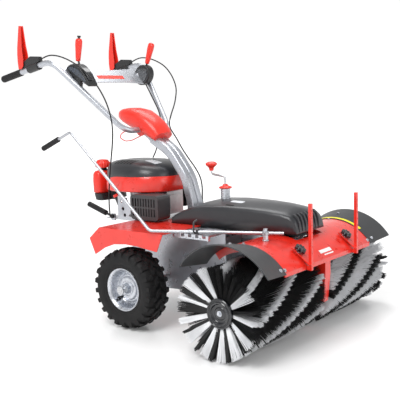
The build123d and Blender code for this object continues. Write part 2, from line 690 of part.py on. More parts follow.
def height_crank():
    """Spindle, red disc and cranked arm."""
    spindle = Pos(CRANK_X, 0, 470) * Cylinder(SPINDLE_ROD_R, 260)
    disc = upright([(6, 543.5), (26, 545), (28, 549), (10, 556), (6, 556)], CRANK_X, 0)
    arm = bar((CRANK_X, 0, 588), (CRANK_X, 0, 600), 5.5) + bar((CRANK_X, 0, 593), (KNOB_POST_X, 0, 601), 5)
    arm += bar((KNOB_POST_X, 0, 600), (KNOB_POST_X, 0, 650), 4)
    return spindle + disc + arm


def crank_knob():
    """Funnel-shaped red knob that spins on the crank's end."""
    points = [(4 + RUN, 616), (9, 616), (11, 628), (24, 640), (25, 648), (14, 654), (4 + RUN, 652)]
    return upright(points, KNOB_POST_X, 0)


def jockey_leg():
    """Sliding leg with the fork of the jockey wheels, threaded on the height spindle."""
    leg = Pos(CRANK_X, 0, 250) * Cylinder(LEG_R, 200)
    leg -= Pos(CRANK_X, 0, 370) * Cylinder(SPINDLE_ROD_R + RUN, 190)
    fork = block(CRANK_X - 20, CRANK_X + 20, -32, 32, 146, 152)
    for side in (-1, 1):
        y = side * 30
        fork += side_plate([(CRANK_X - 20, 150), (CRANK_X - 12, 44), (CRANK_X + 12, 44), (CRANK_X + 20, 150)],
                           y - 2, y + 2)
    axle = bar((CRANK_X, -66, 60), (CRANK_X, 66, 60), 6)
    return leg + fork + axle


def jockey_wheels():
    wheels = []
    for side in (-1, 1):
        y = side * 49
        profile = [(6 + RUN, -14), (52, -14), (60, -9), (60, 9), (52, 14), (6 + RUN, 14)]
        wheel = Pos(0, y, 0) * turned(profile, CRANK_X, 60)
        wheels.append(wheel.solid())
    return Compound(wheels)


def release_lever():
    """Short wheel-drive release lever with a rubber grip, at the back of the deck."""
    pivot = (-300, -161, 408)
    stem = bar(pivot, (-352, -162, 426), 5)
    grip = bar((-338, -162, 421), (-446, -164, 456), 12)
    eye = bar((-300, -165, 408), (-300, -156.3, 408), 9)
    return stem + grip + eye + bar((-300, -160, 408), (-300, -149, 408), 4)


# ---------------------------------------------------------------- brush head
def head_gearbox():
    """Angle gearbox between the two brush halves, with its pivot tube on top."""
    lower = bar((BRUSH_X, -22, BRUSH_Z), (BRUSH_X, 22, BRUSH_Z), 66)
    nose_outline = [(0, 118), (146, 124), (158, 236), (158, 300), (138, 324), (86, 300), (30, 300),
                    (-60, 180)]
    nose = side_plate([(BRUSH_X + x, z) for x, z in nose_outline], -20, 20)
    pillar = Pos(BRUSH_X, 0, 299) * Cylinder(PIVOT_R, 138)
    collar = Pos(BRUSH_X, 0, 343) * Cylinder(PIVOT_R + 2, 9)
    box = lower + nose + pillar + collar
    box -= bar((BRUSH_X, -40, BRUSH_Z), (BRUSH_X, 40, BRUSH_Z), SPINDLE_R + RUN)
    box -= Pos(BRUSH_X, 0, 320) * Cylinder(9 + RUN, 200)
    return box


def head_pulley():
    shaft = Pos(BRUSH_X, 0, 310) * Cylinder(9, 176)
    groove = [(8, BELT_Z - 8), (HEAD_PULLEY_R + 4, BELT_Z - 8), (HEAD_PULLEY_R - 6, BELT_Z),
              (HEAD_PULLEY_R + 4, BELT_Z + 8), (8, BELT_Z + 8)]
    return shaft + upright(groove, BRUSH_X, 0)


def brush_shaft():
    """Cross shaft of the brush with the dished disc at each end."""
    shaft = bar((BRUSH_X, -496, BRUSH_Z), (BRUSH_X, 496, BRUSH_Z), SPINDLE_R)
    hub = SPINDLE_R - 1
    disc = turned([(hub, 478.2), (55, 478.2), (55, 488), (40, 492), (30, 486), (hub, 486)], BRUSH_X, BRUSH_Z)
    return shaft + disc + mirrored(disc)


def bristles(side):
    """Core tube with radial bristle strips that splay outward at the free end."""
    core_outline = [(SPINDLE_R, BRUSH_IN), (HUB_R, BRUSH_IN), (HUB_R, BRUSH_END), (SPINDLE_R, BRUSH_END)]
    core = turned(core_outline, BRUSH_X, BRUSH_Z)
    half = 2.5
    strip_outline = [(HUB_R - 2, BRUSH_IN), (BRUSH_R, BRUSH_IN), (BRUSH_R, BRUSH_FLARE - 14),
                     (BRUSH_R - 12, BRUSH_FLARE), (HUB_R + 12, BRUSH_END), (HUB_R - 2, BRUSH_END)]
    face = make_face(Polyline(*[(BRUSH_X - half, y, BRUSH_Z - r) for r, y in strip_outline], close=True))
    strip = extrude(face, amount=2 * half, dir=(1, 0, 0))
    axis = Axis((BRUSH_X, 0, BRUSH_Z), (0, 1, 0))
    roll = core
    for index in range(BLADES):
        roll += strip.rotate(axis, 360.0 / BLADES * index)
    return roll if side > 0 else mirrored(roll)


def brush_cover():
    """Red sheet arched over the brush, cut out around the neck, with end flanges."""
    sheet = arc_shell(COVER_R - SHEET, COVER_R, -COVER_Y, COVER_Y, COVER_FRONT, COVER_REAR)
    sheet -= block(BRUSH_X - 170, BRUSH_X + 78, -98, 98, 290, 420)
    for side in (-1, 1):
        inner, outer = sorted((side * COVER_Y, side * (COVER_Y - SHEET)))
        sheet += arc_shell(190, COVER_R, inner, outer, COVER_FRONT, COVER_REAR)
        inner, outer = sorted((side * 98, side * (98 + SHEET)))
        sheet += arc_shell(185, COVER_R - 1, inner, outer, COVER_FRONT, COVER_REAR)
        # rib that bolts the cover to the gearbox nose
        inner, outer = sorted((side * 20.3, side * 24.3))
        sheet += arc_shell(178, COVER_R - 1, inner, outer, COVER_FRONT, 64)
    sheet += block(BRUSH_X + 166, BRUSH_X + 172, -COVER_Y, COVER_Y, BRUSH_Z + 118, BRUSH_Z + 134)
    # threaded stud for the steering rod
    sheet += Pos(ROD_PIN_X, ROD_PIN_Y, 412) * Cylinder(5, 46)
    sheet += Pos(ROD_PIN_X, ROD_PIN_Y, 399) * Cylinder(9, 24)
    return sheet


def end_guards():
    """Black flared hoods over the ends of the brush."""
    guards = []
    points = [(GUARD_R_IN - SHEET, COVER_Y + 0.1), (GUARD_R_IN + 0.5, COVER_Y + 0.1),
              (GUARD_R_OUT, GUARD_Y), (GUARD_R_OUT - 2 * SHEET, GUARD_Y)]
    guard = turned(points, BRUSH_X, BRUSH_Z, GUARD_FRONT, GUARD_REAR - GUARD_FRONT)
    guards.append(guard.solid())
    guards.append(mirrored(guard).solid())
    return Compound(guards)


def post(side):
    """Red square post with a row of holes, welded to a slotted foot."""
    y = side * POST_Y
    half = POST_W / 2
    bar_body = block(POST_X - half, POST_X + half, y - half, y + half, 288, 533)
    for hole in range(7):
        z = 350 + 26 * hole
        bar_body -= Pos(POST_X, y, z) * Rot(0, 90, 0) * Cylinder(2.5, 20)
    slope = math.radians(KNOB_SLOPE)
    normal = Vector(math.cos(slope), 0, math.sin(slope))
    along = Vector(math.sin(slope), 0, -math.cos(slope))
    centre = Vector(BRUSH_X, y, BRUSH_Z) + normal * (COVER_R + GAP + 5)
    plane = Plane(origin=centre - along * 26, x_dir=along, z_dir=normal)
    foot = extrude(plane * Rectangle(96, 34, align=(Align.MIN, Align.CENTER)), amount=4)
    foot -= extrude(plane * Pos(26, 0) * SlotOverall(44, 9), amount=10, both=True)
    return bar_body + foot + block(POST_X - 14, POST_X + half, y - half, y + half, 289, 305)


def star_knob(side):
    """Clamping knob with lobes, on its stud through the foot's slot."""
    y = side * POST_Y
    slope = math.radians(KNOB_SLOPE)
    normal = Vector(math.cos(slope), 0, math.sin(slope))
    base = Vector(BRUSH_X, y, BRUSH_Z) + normal * (COVER_R + GAP)
    stud = bar(tuple(base), tuple(base + normal * 14), 4)
    washer = bar(tuple(base + normal * 9.4), tuple(base + normal * 13), 12)
    body = bar(tuple(base + normal * 13), tuple(base + normal * 30), 19)
    plane = Plane(origin=base + normal * 16, z_dir=normal)
    for lobe in range(7):
        angle = 2 * math.pi / 7 * lobe
        body += extrude(plane * Pos(18 * math.cos(angle), 18 * math.sin(angle)) * Circle(6), amount=13)
    return stud + washer + body


# ---------------------------------------------------------------- write the parts
def main():
    os.makedirs("parts", exist_ok=True)
    parts = {
        "main_frame": main_frame(), "transaxle_housing": transaxle_housing(), "wheel_axle": wheel_axle(),
        "rear_deck_cover": rear_deck_cover(), "belt_hood": belt_hood(), "engine_block": engine_block(),
        "engine_pulley": engine_pulley(), "drive_belts": drive_belts(), "muffler": muffler(),
        "muffler_guard": muffler_guard(), "engine_shroud": engine_shroud(),
        "engine_top_cover": engine_top_cover(), "air_filter_housing": air_filter_housing(),
        "fuel_tank": fuel_tank(), "transaxle_pulley": transaxle_pulley(),
        "lever_brackets": lever_brackets(), "fuel_cap": fuel_cap(), "oil_filler_tube": oil_filler_tube(),
        "oil_cap": oil_cap(), "handle_column": handle_column(), "handle_shroud": handle_shroud(),
        "handle_bail": handle_bail(), "handlebar_tube": handlebar_tube(), "crossbar_plate": crossbar_plate(),
        "handle_grips": handle_grips(), "speed_lever": speed_lever(), "lever_button": lever_button(),
        "throttle_lever": throttle_lever(), "clutch_cable_right": cable(RIGHT_CABLE),
        "clutch_cable_left": cable(LEFT_CABLE), "throttle_cable": cable(THROTTLE_CABLE),
        "steering_rack": steering_rack(), "steering_rod": steering_rod(), "rod_grip": rod_grip(),
        "rod_latch": rod_latch(), "crank_sleeve": crank_sleeve(), "height_crank": height_crank(),
        "crank_knob": crank_knob(), "jockey_leg": jockey_leg(), "jockey_wheels": jockey_wheels(),
        "release_lever": release_lever(), "head_gearbox": head_gearbox(), "head_pulley": head_pulley(),
        "brush_shaft": brush_shaft(), "brush_cover": brush_cover(),
        "end_guards": end_guards(),
    }
    for name, side in SIDES.items():
        parts["tyre_" + name] = tyre(side)
        parts["rim_" + name] = rim(side)
        parts["clutch_lever_" + name] = clutch_lever(side)
        parts["control_box_" + name] = control_box(side)
        parts["bristles_" + name] = bristles(side)
        parts["post_" + name] = post(side)
        parts["star_knob_" + name] = star_knob(side)
    for node, shape in parts.items():
        save(node, shape)


main()
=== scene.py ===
"""Looks of the walk behind sweeper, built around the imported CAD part.

Places in the calls below are millimetres from the point on the ground under the wheel axle:
X forward, Y to the machine's left, Z up. place() turns them into the frame's metres.
"""
import math
import random

import bmesh
import bpy
from mathutils import Matrix, Vector
from mathutils.bvhtree import BVHTree


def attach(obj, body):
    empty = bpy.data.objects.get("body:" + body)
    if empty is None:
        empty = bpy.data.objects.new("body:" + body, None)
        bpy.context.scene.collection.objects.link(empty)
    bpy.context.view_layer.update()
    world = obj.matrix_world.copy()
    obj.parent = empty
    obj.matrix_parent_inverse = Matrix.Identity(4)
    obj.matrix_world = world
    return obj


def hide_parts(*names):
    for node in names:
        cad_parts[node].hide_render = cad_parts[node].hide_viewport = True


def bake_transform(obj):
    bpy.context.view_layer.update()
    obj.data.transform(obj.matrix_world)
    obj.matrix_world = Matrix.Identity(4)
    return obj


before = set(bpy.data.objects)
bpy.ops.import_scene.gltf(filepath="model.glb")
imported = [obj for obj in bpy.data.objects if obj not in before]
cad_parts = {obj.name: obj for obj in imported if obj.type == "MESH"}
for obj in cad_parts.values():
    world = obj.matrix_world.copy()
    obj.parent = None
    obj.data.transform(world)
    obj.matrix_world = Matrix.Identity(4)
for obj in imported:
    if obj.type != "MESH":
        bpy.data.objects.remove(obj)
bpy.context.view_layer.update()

AXLE_X = 58.2
CHANCE = random.Random(11)


def place(x, y, z):
    return Vector(((x + AXLE_X) / 1000, y / 1000, z / 1000))


# ------------------------------------------------------------------ materials
def graph(name):
    material = bpy.data.materials.new(name)
    material.use_nodes = True
    tree = material.node_tree
    shader = tree.nodes["Principled BSDF"]

    def add(kind, inputs=None, **settings):
        node = tree.nodes.new("ShaderNode" + kind)
        for key, value in settings.items():
            setattr(node, key, value)
        for key, value in (inputs or {}).items():
            if isinstance(value, bpy.types.NodeSocket):
                tree.links.new(value, node.inputs[key])
            else:
                node.inputs[key].default_value = value
        return node

    return material, tree, shader, add


def ramp_of(add, factor, stops):
    node = add("ValToRGB", {"Fac": factor})
    elements = node.color_ramp.elements
    while len(elements) < len(stops):
        elements.new(0.5)
    for element, (position, colour) in zip(elements, stops):
        element.position = position
        element.color = (*colour, 1)
    return node.outputs["Color"]


def surface(name, colour, rough, metal=0.0, coat=0.0, coat_rough=0.12, dark=0.82, broad=22.0, grain=700.0,
            bump=0.08, depth=0.0004, spread=0.07, stretch=(1, 1, 1), edge=0.0014, wear_and_edge_highlight=None, dust=0.0,
            specular=0.5):
    """A finish with mottled colour, uneven gloss, a fine grain and softened edges."""
    material, tree, shader, add = graph(name)
    coords = add("TexCoord").outputs["Object"]
    stretched = add("Mapping", {"Vector": coords, "Scale": stretch}).outputs["Vector"]
    cloud = add("TexNoise", {"Vector": stretched, "Scale": broad, "Detail": 5.0, "Roughness": 0.6})
    fine = add("TexNoise", {"Vector": stretched, "Scale": grain, "Detail": 3.0, "Roughness": 0.55})
    deep = tuple(c * dark for c in colour)
    tint = ramp_of(add, cloud.outputs["Fac"], [(0.3, deep), (0.7, colour)])
    bevel = add("Bevel", {"Radius": edge}, samples=4)
    # Lighter colour where the bevelled normal turns away from the face normal: partly edge wear, partly a
    # painted highlight along the edges.
    if wear_and_edge_highlight:
        facing = add("VectorMath", {0: bevel.outputs["Normal"], 1: add("NewGeometry").outputs["Normal"]},
                     operation="DOT_PRODUCT").outputs["Value"]
        edge_highlight_mask = add("MapRange", {"Value": facing, "From Min": 0.99, "From Max": 0.86,
                                "To Max": 0.55}).outputs["Result"]
        tint = add("MixRGB", {"Fac": edge_highlight_mask, "Color1": tint, "Color2": (*wear_and_edge_highlight, 1)}).outputs["Color"]
    if dust:
        low = add("SeparateXYZ", {"Vector": coords}).outputs["Z"]
        patchy = add("TexNoise", {"Vector": coords, "Scale": 34.0, "Detail": 6.0}).outputs["Fac"]
        height = add("MapRange", {"Value": low, "From Min": 0.45, "From Max": 0.0,
                                  "To Max": dust}).outputs["Result"]
        share = add("Math", {0: height, 1: patchy}, operation="MULTIPLY").outputs["Value"]
        tint = add("MixRGB", {"Fac": share, "Color1": tint, "Color2": (0.32, 0.30, 0.27, 1)}).outputs["Color"]
    tree.links.new(tint, shader.inputs["Base Color"])
    gloss = add("MapRange", {"Value": cloud.outputs["Fac"], "From Min": 0.25, "From Max": 0.75,
                             "To Min": max(rough - spread, 0.02), "To Max": rough + spread})
    tree.links.new(gloss.outputs["Result"], shader.inputs["Roughness"])
    relief = add("Bump", {"Height": fine.outputs["Fac"], "Strength": bump, "Distance": depth,
                          "Normal": bevel.outputs["Normal"]})
    tree.links.new(relief.outputs["Normal"], shader.inputs["Normal"])
    shader.inputs["Metallic"].default_value = metal
    shader.inputs["Coat Weight"].default_value = coat
    shader.inputs["Coat Roughness"].default_value = coat_rough
    shader.inputs["Specular IOR Level"].default_value = specular
    return material


def galvanised():
    """Zinc plating with its crystal spangle."""
    material, tree, shader, add = graph("zinc_plated")
    coords = add("TexCoord").outputs["Object"]
    spangle = add("TexVoronoi", {"Vector": coords, "Scale": 95.0, "Randomness": 1.0})
    shine = add("SeparateColor", {"Color": spangle.outputs["Color"]}).outputs["Red"]
    tint = ramp_of(add, shine, [(0.0, (0.50, 0.52, 0.56)), (1.0, (0.64, 0.66, 0.70))])
    tree.links.new(tint, shader.inputs["Base Color"])
    gloss = add("MapRange", {"Value": shine, "To Min": 0.24, "To Max": 0.42}).outputs["Result"]
    tree.links.new(gloss, shader.inputs["Roughness"])
    fine = add("TexNoise", {"Vector": coords, "Scale": 420.0, "Detail": 3.0}).outputs["Fac"]
    bevel = add("Bevel", {"Radius": 0.001}, samples=4).outputs["Normal"]
    relief = add("Bump", {"Height": fine, "Strength": 0.08, "Distance": 0.0003, "Normal": bevel})
    tree.links.new(relief.outputs["Normal"], shader.inputs["Normal"])
    shader.inputs["Metallic"].default_value = 1.0
    return material


RED = (0.78, 0.022, 0.010)
M = {
    "red_paint": surface("red_paint_gloss", RED, 0.30, coat=0.5, grain=260, bump=0.05,
                         wear_and_edge_highlight=(0.85, 0.06, 0.03)),
    "red_plastic": surface("red_plastic_satin", (0.80, 0.026, 0.012), 0.36, coat=0.15, grain=900, bump=0.05,
                           wear_and_edge_highlight=(0.97, 0.13, 0.09)),
    "black_plastic": surface("black_plastic_grained", (0.011, 0.0115, 0.013), 0.40, grain=1100, bump=0.16,
                             wear_and_edge_highlight=(0.07, 0.07, 0.08)),
    "hood_black": surface("hood_black_satin", (0.024, 0.025, 0.029), 0.34, coat=0.12, coat_rough=0.25,
                          grain=850,
                          bump=0.08, wear_and_edge_highlight=(0.10, 0.10, 0.11), dust=0.05),
    "black_paint": surface("black_powder_coat", (0.040, 0.042, 0.045), 0.44, grain=420, bump=0.14,
                           wear_and_edge_highlight=(0.09, 0.09, 0.10), dust=0.05),
    "silver_paint": surface("silver_paint_gloss", (0.47, 0.49, 0.53), 0.30, metal=0.7, coat=0.35, grain=1500,
                            bump=0.03, dark=0.90, wear_and_edge_highlight=(0.66, 0.68, 0.71)),
    "pale_paint": surface("pale_rod_paint", (0.40, 0.41, 0.44), 0.26, metal=0.60, coat=0.5, grain=1500,
                          bump=0.02,
                          dark=0.95),
    "zinc": galvanised(),
    "steel": surface("bright_steel", (0.60, 0.61, 0.63), 0.28, metal=1.0, grain=300, stretch=(1, 1, 9),
                     bump=0.05,
                     dark=0.80),
    "aluminium": surface("cast_aluminium", (0.56, 0.57, 0.58), 0.48, metal=0.9, grain=380, bump=0.30,
                         dark=0.72,
                         wear_and_edge_highlight=(0.80, 0.80, 0.81)),
    "rubber": surface("black_rubber", (0.008, 0.008, 0.009), 0.58, grain=1300, bump=0.22, specular=0.35),
    "tyre": surface("tyre_rubber", (0.006, 0.006, 0.007), 0.60, grain=520, bump=0.28, dark=0.7, dust=0.04,
                    specular=0.25),
    "belt": surface("belt_rubber", (0.025, 0.025, 0.026), 0.75, grain=300, bump=0.4, stretch=(1, 1, 4)),
    "gloss_black": surface("black_gloss_moulding", (0.012, 0.013, 0.016), 0.18, coat=0.5, grain=500,
                           bump=0.02),
    "slate": surface("slate_face", (0.030, 0.040, 0.058), 0.22, coat=0.4, grain=500, bump=0.03),
    # Painted shade: near-black colour for flat patches laid where openings stand, in place of the shade
    # inside them.
    "pit": surface("painted_recess_shade", (0.004, 0.004, 0.004), 0.8, grain=500, bump=0.1),
    "label": surface("pale_label", (0.62, 0.64, 0.67), 0.40, grain=900, bump=0.03, dark=0.94),
    "mark": surface("red_mark", (0.80, 0.05, 0.03), 0.40, grain=900, bump=0.03),
    "yellow": surface("yellow_band", (0.86, 0.76, 0.02), 0.38, grain=900, bump=0.03),
    "white_mark": surface("white_mark", (0.86, 0.84, 0.83), 0.38, grain=900, bump=0.03),
    "fibre_black": surface("bristle_black", (0.003, 0.003, 0.0035), 0.50, grain=900, bump=0.1, edge=0.0004),
    "fibre_white": surface("bristle_pale", (0.82, 0.83, 0.85), 0.46, grain=900, bump=0.1, dark=0.86,
                           edge=0.0004),
}

NODE_FINISH = {
    "red_paint": ["rear_deck_cover", "brush_cover", "post_left", "post_right", "head_gearbox", "handle_bail"],
    "red_plastic": ["clutch_lever_left", "clutch_lever_right", "crank_knob", "oil_cap"],
    "black_plastic": ["lever_brackets", "oil_filler_tube", "air_filter_housing", "lever_button"],
    "black_paint": ["end_guards", "muffler_guard", "rod_latch", "muffler"],
    "silver_paint": ["main_frame", "handle_column", "handlebar_tube", "crossbar_plate"],
    "pale_paint": ["steering_rod"],
    "zinc": ["steering_rack", "crank_sleeve"],
    "steel": ["wheel_axle", "engine_pulley", "head_pulley", "transaxle_pulley", "jockey_leg"],
    "aluminium": ["engine_block", "transaxle_housing"],
    "rubber": ["release_lever", "jockey_wheels"],
    "belt": ["drive_belts"],
}


def paint_cad_nodes():
    for finish, nodes in NODE_FINISH.items():
        for node in nodes:
            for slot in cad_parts[node].material_slots:
                slot.material = M[finish]


paint_cad_nodes()


# ------------------------------------------------------------------ mesh helpers
def link(name, mesh, finishes, body, stands_for=(), sharp=38.0):
    for finish in finishes:
        mesh.materials.append(M[finish])
    mesh.shade_smooth()
    mesh.set_sharp_from_angle(angle=math.radians(sharp))
    obj = bpy.data.objects.new(name, mesh)
    bpy.context.scene.collection.objects.link(obj)
    if body:
        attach(obj, body)
    if stands_for:
        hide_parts(*stands_for)
    return obj


def build(name, points, faces, finish, body, stands_for=(), sharp=38.0, marks=None):
    mesh = bpy.data.meshes.new(name)
    mesh.from_pydata([place(*p) for p in points], [], faces)
    finishes = [finish] if isinstance(finish, str) else finish
    if marks:
        mesh.polygons.foreach_set("material_index", marks)
    work = bmesh.new()
    work.from_mesh(mesh)
    bmesh.ops.recalc_face_normals(work, faces=work.faces)
    work.to_mesh(mesh)
    work.free()
    return link(name, mesh, finishes, body, stands_for, sharp)


def round_edges(obj, width, segments=3, angle=30.0):
    bevel = obj.modifiers.new("rounding", "BEVEL")
    bevel.width = width / 1000
    bevel.segments = segments
    bevel.limit_method = "ANGLE"
    bevel.angle_limit = math.radians(angle)
    return obj


def spun(profile, origin, along, count=64, closed=True):
    """Points and faces of a profile of (radius, distance) turned about a line."""
    along = Vector(along).normalized()
    side = along.orthogonal().normalized()
    other = along.cross(side)
    origin = Vector(origin)
    points, faces = [], []
    for step in range(count):
        angle = 2 * math.pi * step / count
        out = side * math.cos(angle) + other * math.sin(angle)
        points += [tuple(origin + along * h + out * r) for r, h in profile]
    size = len(profile)
    for step in range(count):
        here, there = step * size, (step + 1) % count * size
        for i in range(size if closed else size - 1):
            j = (i + 1) % size
            faces.append((here + i, here + j, there + j, there + i))
    return points, faces


def spin(name, profile, origin, along, finish, body, stands_for=(), count=64, closed=True, sharp=38.0):
    points, faces = spun(profile, origin, along, count, closed)
    return build(name, points, faces, finish, body, stands_for, sharp)


def lofted(rings, cap=True):
    """Points and faces of a skin through closed loops of the same size."""
    size = len(rings[0])
    points = [p for ring in rings for p in ring]
    faces = []
    for level in range(len(rings) - 1):
        for i in range(size):
            j = (i + 1) % size
            faces.append((level * size + i, level * size + j, (level + 1) * size + j, (level + 1) * size + i))
    if cap:
        faces.append(tuple(reversed(range(size))))
        faces.append(tuple(range((len(rings) - 1) * size, len(rings) * size)))
    return points, faces


def oval(rear, front, half, z, power=2.4, count=64, dip=0.0):
    """A rounded plan loop; dip lowers its right front quarter."""
    middle, reach = (rear + front) / 2, (front - rear) / 2
    loop = []
    for step in range(count):
        t = 2 * math.pi * step / count
        c, s = math.cos(t), math.sin(t)
        x = middle + reach * math.copysign(abs(c) ** (2 / power), c)
        y = half * math.copysign(abs(s) ** (2 / power), s)
        loop.append((x, y, z - dip * max(0.0, math.cos(t * 2 + 0.5 * math.pi * math.copysign(1, s))) ** 2))
    return loop


def prism(outline, y0, y1):
    """Points and faces of an X-Z outline between two Y planes."""
    return lofted([[(x, y0, z) for x, z in outline], [(x, y1, z) for x, z in outline]])


def moulding(name, outline, y0, y1, radius, finish, body, stands_for=(), segments=4):
    points, faces = prism(outline, y0, y1)
    return round_edges(build(name, points, faces, finish, body, stands_for, 60.0), radius, segments)


def spline(points, radius=0.0, cyclic=False):
    """A smooth curve object through a route's control points, in the frame's metres."""
    data = bpy.data.curves.new("route", "CURVE")
    data.dimensions = "3D"
    run = data.splines.new("NURBS")
    run.points.add(len(points) - 1)
    for knot, point in zip(run.points, points):
        knot.co = (*place(*point), 1)
    run.use_cyclic_u = cyclic
    run.order_u = 3
    run.use_endpoint_u = not cyclic
    data.resolution_u = 8
    data.bevel_depth = radius / 1000
    data.bevel_resolution = 4
    data.use_fill_caps = True
    return bpy.data.objects.new("route", data)


def tube(name, points, radius, finish, body, stands_for=(), cyclic=False):
    mesh = bpy.data.meshes.new_from_object(spline(points, radius, cyclic))
    mesh.name = name
    mesh.materials.clear()
    return link(name, mesh, [finish], body, stands_for, 60.0)


def tree_of(obj):
    return BVHTree.FromObject(obj, bpy.context.evaluated_depsgraph_get())


def patch(name, target, centre, right, up, width, height, finish, body, lift=0.35, power=6.0, rings=5,
          count=40):
    """A thin rounded sticker laid on a surface, as seen along its own normal."""
    tree = tree_of(target)
    right, up = Vector(right).normalized(), Vector(up).normalized()
    out = right.cross(up).normalized()
    points = []
    for ring in range(rings + 1):
        share = ring / rings
        for step in range(count if ring else 1):
            t = 2 * math.pi * step / count
            c, s = math.cos(t), math.sin(t)
            a = share * width / 2 * math.copysign(abs(c) ** (2 / power), c)
            b = share * height / 2 * math.copysign(abs(s) ** (2 / power), s)
            start = place(*centre) + (right * a + up * b + out * 60) / 1000
            hit, normal, _, _ = tree.ray_cast(start, -out)
            if hit is None:
                hit, normal = start - out * 0.06, out
            if normal.dot(out) < 0:
                normal = -normal
            spot = hit + normal * lift / 1000
            points.append((spot.x * 1000 - AXLE_X, spot.y * 1000, spot.z * 1000))
    faces = [(0, 1 + i, 1 + (i + 1) % count) for i in range(count)]
    for ring in range(1, rings):
        low, high = 1 + (ring - 1) * count, 1 + ring * count
        faces += [(low + i, high + i, high + (i + 1) % count, low + (i + 1) % count) for i in range(count)]
    return build(name, points, faces, finish, body)


def bolt(name, at, along, radius, body, finish="zinc", height=4.0):
    """A hexagon head on its washer."""
    at, along = Vector(at), Vector(along).normalized()
    washer, faces = spun([(0.1, 0), (radius * 1.5, 0), (radius * 1.5, 1.2), (0.1, 1.2)], at, along, 20)
    head, more = spun([(0.1, 1.2), (radius, 1.2), (radius, height), (radius * 0.85, height + 1),
                       (0.1, height + 1)],
                      at, along, 6)
    offset = len(washer)
    faces += [tuple(i + offset for i in face) for face in more]
    return build(name, washer + head, faces, finish, body, sharp=25.0)


# ------------------------------------------------------------------ camera, light, floor
def studio():
    scene = bpy.context.scene
    scene.view_settings.view_transform = "Standard"
    scene.view_settings.look = "None"
    world = bpy.data.worlds.new("studio")
    world.use_nodes = True
    sky = world.node_tree
    up = sky.nodes.new("ShaderNodeTexCoord")
    split = sky.nodes.new("ShaderNodeSeparateXYZ")
    fade = sky.nodes.new("ShaderNodeMapRange")
    sky.links.new(up.outputs["Generated"], split.inputs["Vector"])
    sky.links.new(split.outputs["Z"], fade.inputs["Value"])
    for key, value in (("From Min", 0.18), ("From Max", 0.55), ("To Min", 1.02), ("To Max", 0.55)):
        fade.inputs[key].default_value = value
    sky.links.new(fade.outputs["Result"], sky.nodes["Background"].inputs["Strength"])
    sky.nodes["Background"].inputs["Color"].default_value = (1, 1, 1, 1)
    scene.world = world

    def lamp(name, spot, target, size, power):
        data = bpy.data.lights.new(name, "AREA")
        data.size = size
        data.energy = power
        obj = bpy.data.objects.new(name, data)
        obj.location = spot
        obj.rotation_euler = (Vector(target) - Vector(spot)).to_track_quat("-Z", "Y").to_euler()
        scene.collection.objects.link(obj)

    lamp("key", (0.6, -2.6, 3.4), (0, 0, 0.4), 1.9, 105)
    lamp("top", (-0.6, 0.8, 3.6), (0, 0, 0.3), 2.2, 62)
    lamp("fill", (3.4, 0.6, 1.6), (0.2, 0, 0.4), 1.6, 16)

    size = 30.0
    mesh = bpy.data.meshes.new("floor")
    mesh.from_pydata([(-size, -size, 0), (size, -size, 0), (size, size, 0), (-size, size, 0)], [],
                     [(0, 1, 2, 3)])
    ground = surface("studio_floor", (0.97, 0.97, 0.97), 0.24, dark=0.995, broad=3, grain=60, bump=0.01,
                     spread=0.04)
    nodes, links = ground.node_tree.nodes, ground.node_tree.links
    # Painted light: the floor's emission rises with distance from the machine, standing in for lamp light
    # that falls off far away.
    coords = nodes.new("ShaderNodeTexCoord")
    reach = nodes.new("ShaderNodeVectorMath")
    reach.operation = "LENGTH"
    painted_far_light = nodes.new("ShaderNodeMapRange")
    links.new(coords.outputs["Object"], reach.inputs[0])
    links.new(reach.outputs["Value"], painted_far_light.inputs["Value"])
    for key, value in (("From Min", 1.2), ("From Max", 5.0), ("To Min", 0.06), ("To Max", 0.55)):
        painted_far_light.inputs[key].default_value = value
    links.new(painted_far_light.outputs["Result"], nodes["Principled BSDF"].inputs["Emission Strength"])
    nodes["Principled BSDF"].inputs["Emission Color"].default_value = (1, 1, 1, 1)
    mesh.materials.append(ground)
    floor = bpy.data.objects.new("floor", mesh)
    floor.location.z = -0.0005
    scene.collection.objects.link(floor)

    camera = bpy.data.objects.new("camera", bpy.data.cameras.new("camera"))
    camera.data.sensor_width = 36.0
    camera.data.lens = 65.5
    camera.data.clip_end = 100
    forward = Vector((-0.6250, 0.7693, -0.1328)).normalized()
    right = Vector((0.7783, 0.6269, -0.0313)).normalized()
    up = right.cross(forward).normalized()
    right = forward.cross(up)
    turn = Matrix((right, up, -forward)).transposed()
    camera.matrix_world = Matrix.Translation(place(2058.3, -2432.7, 905.15)) @ turn.to_4x4()
    scene.collection.objects.link(camera)
    scene.camera = camera


studio()


# ------------------------------------------------------------------ wheels
TYRE_MIDDLE = 361.0
WHEEL_Z = 165.0


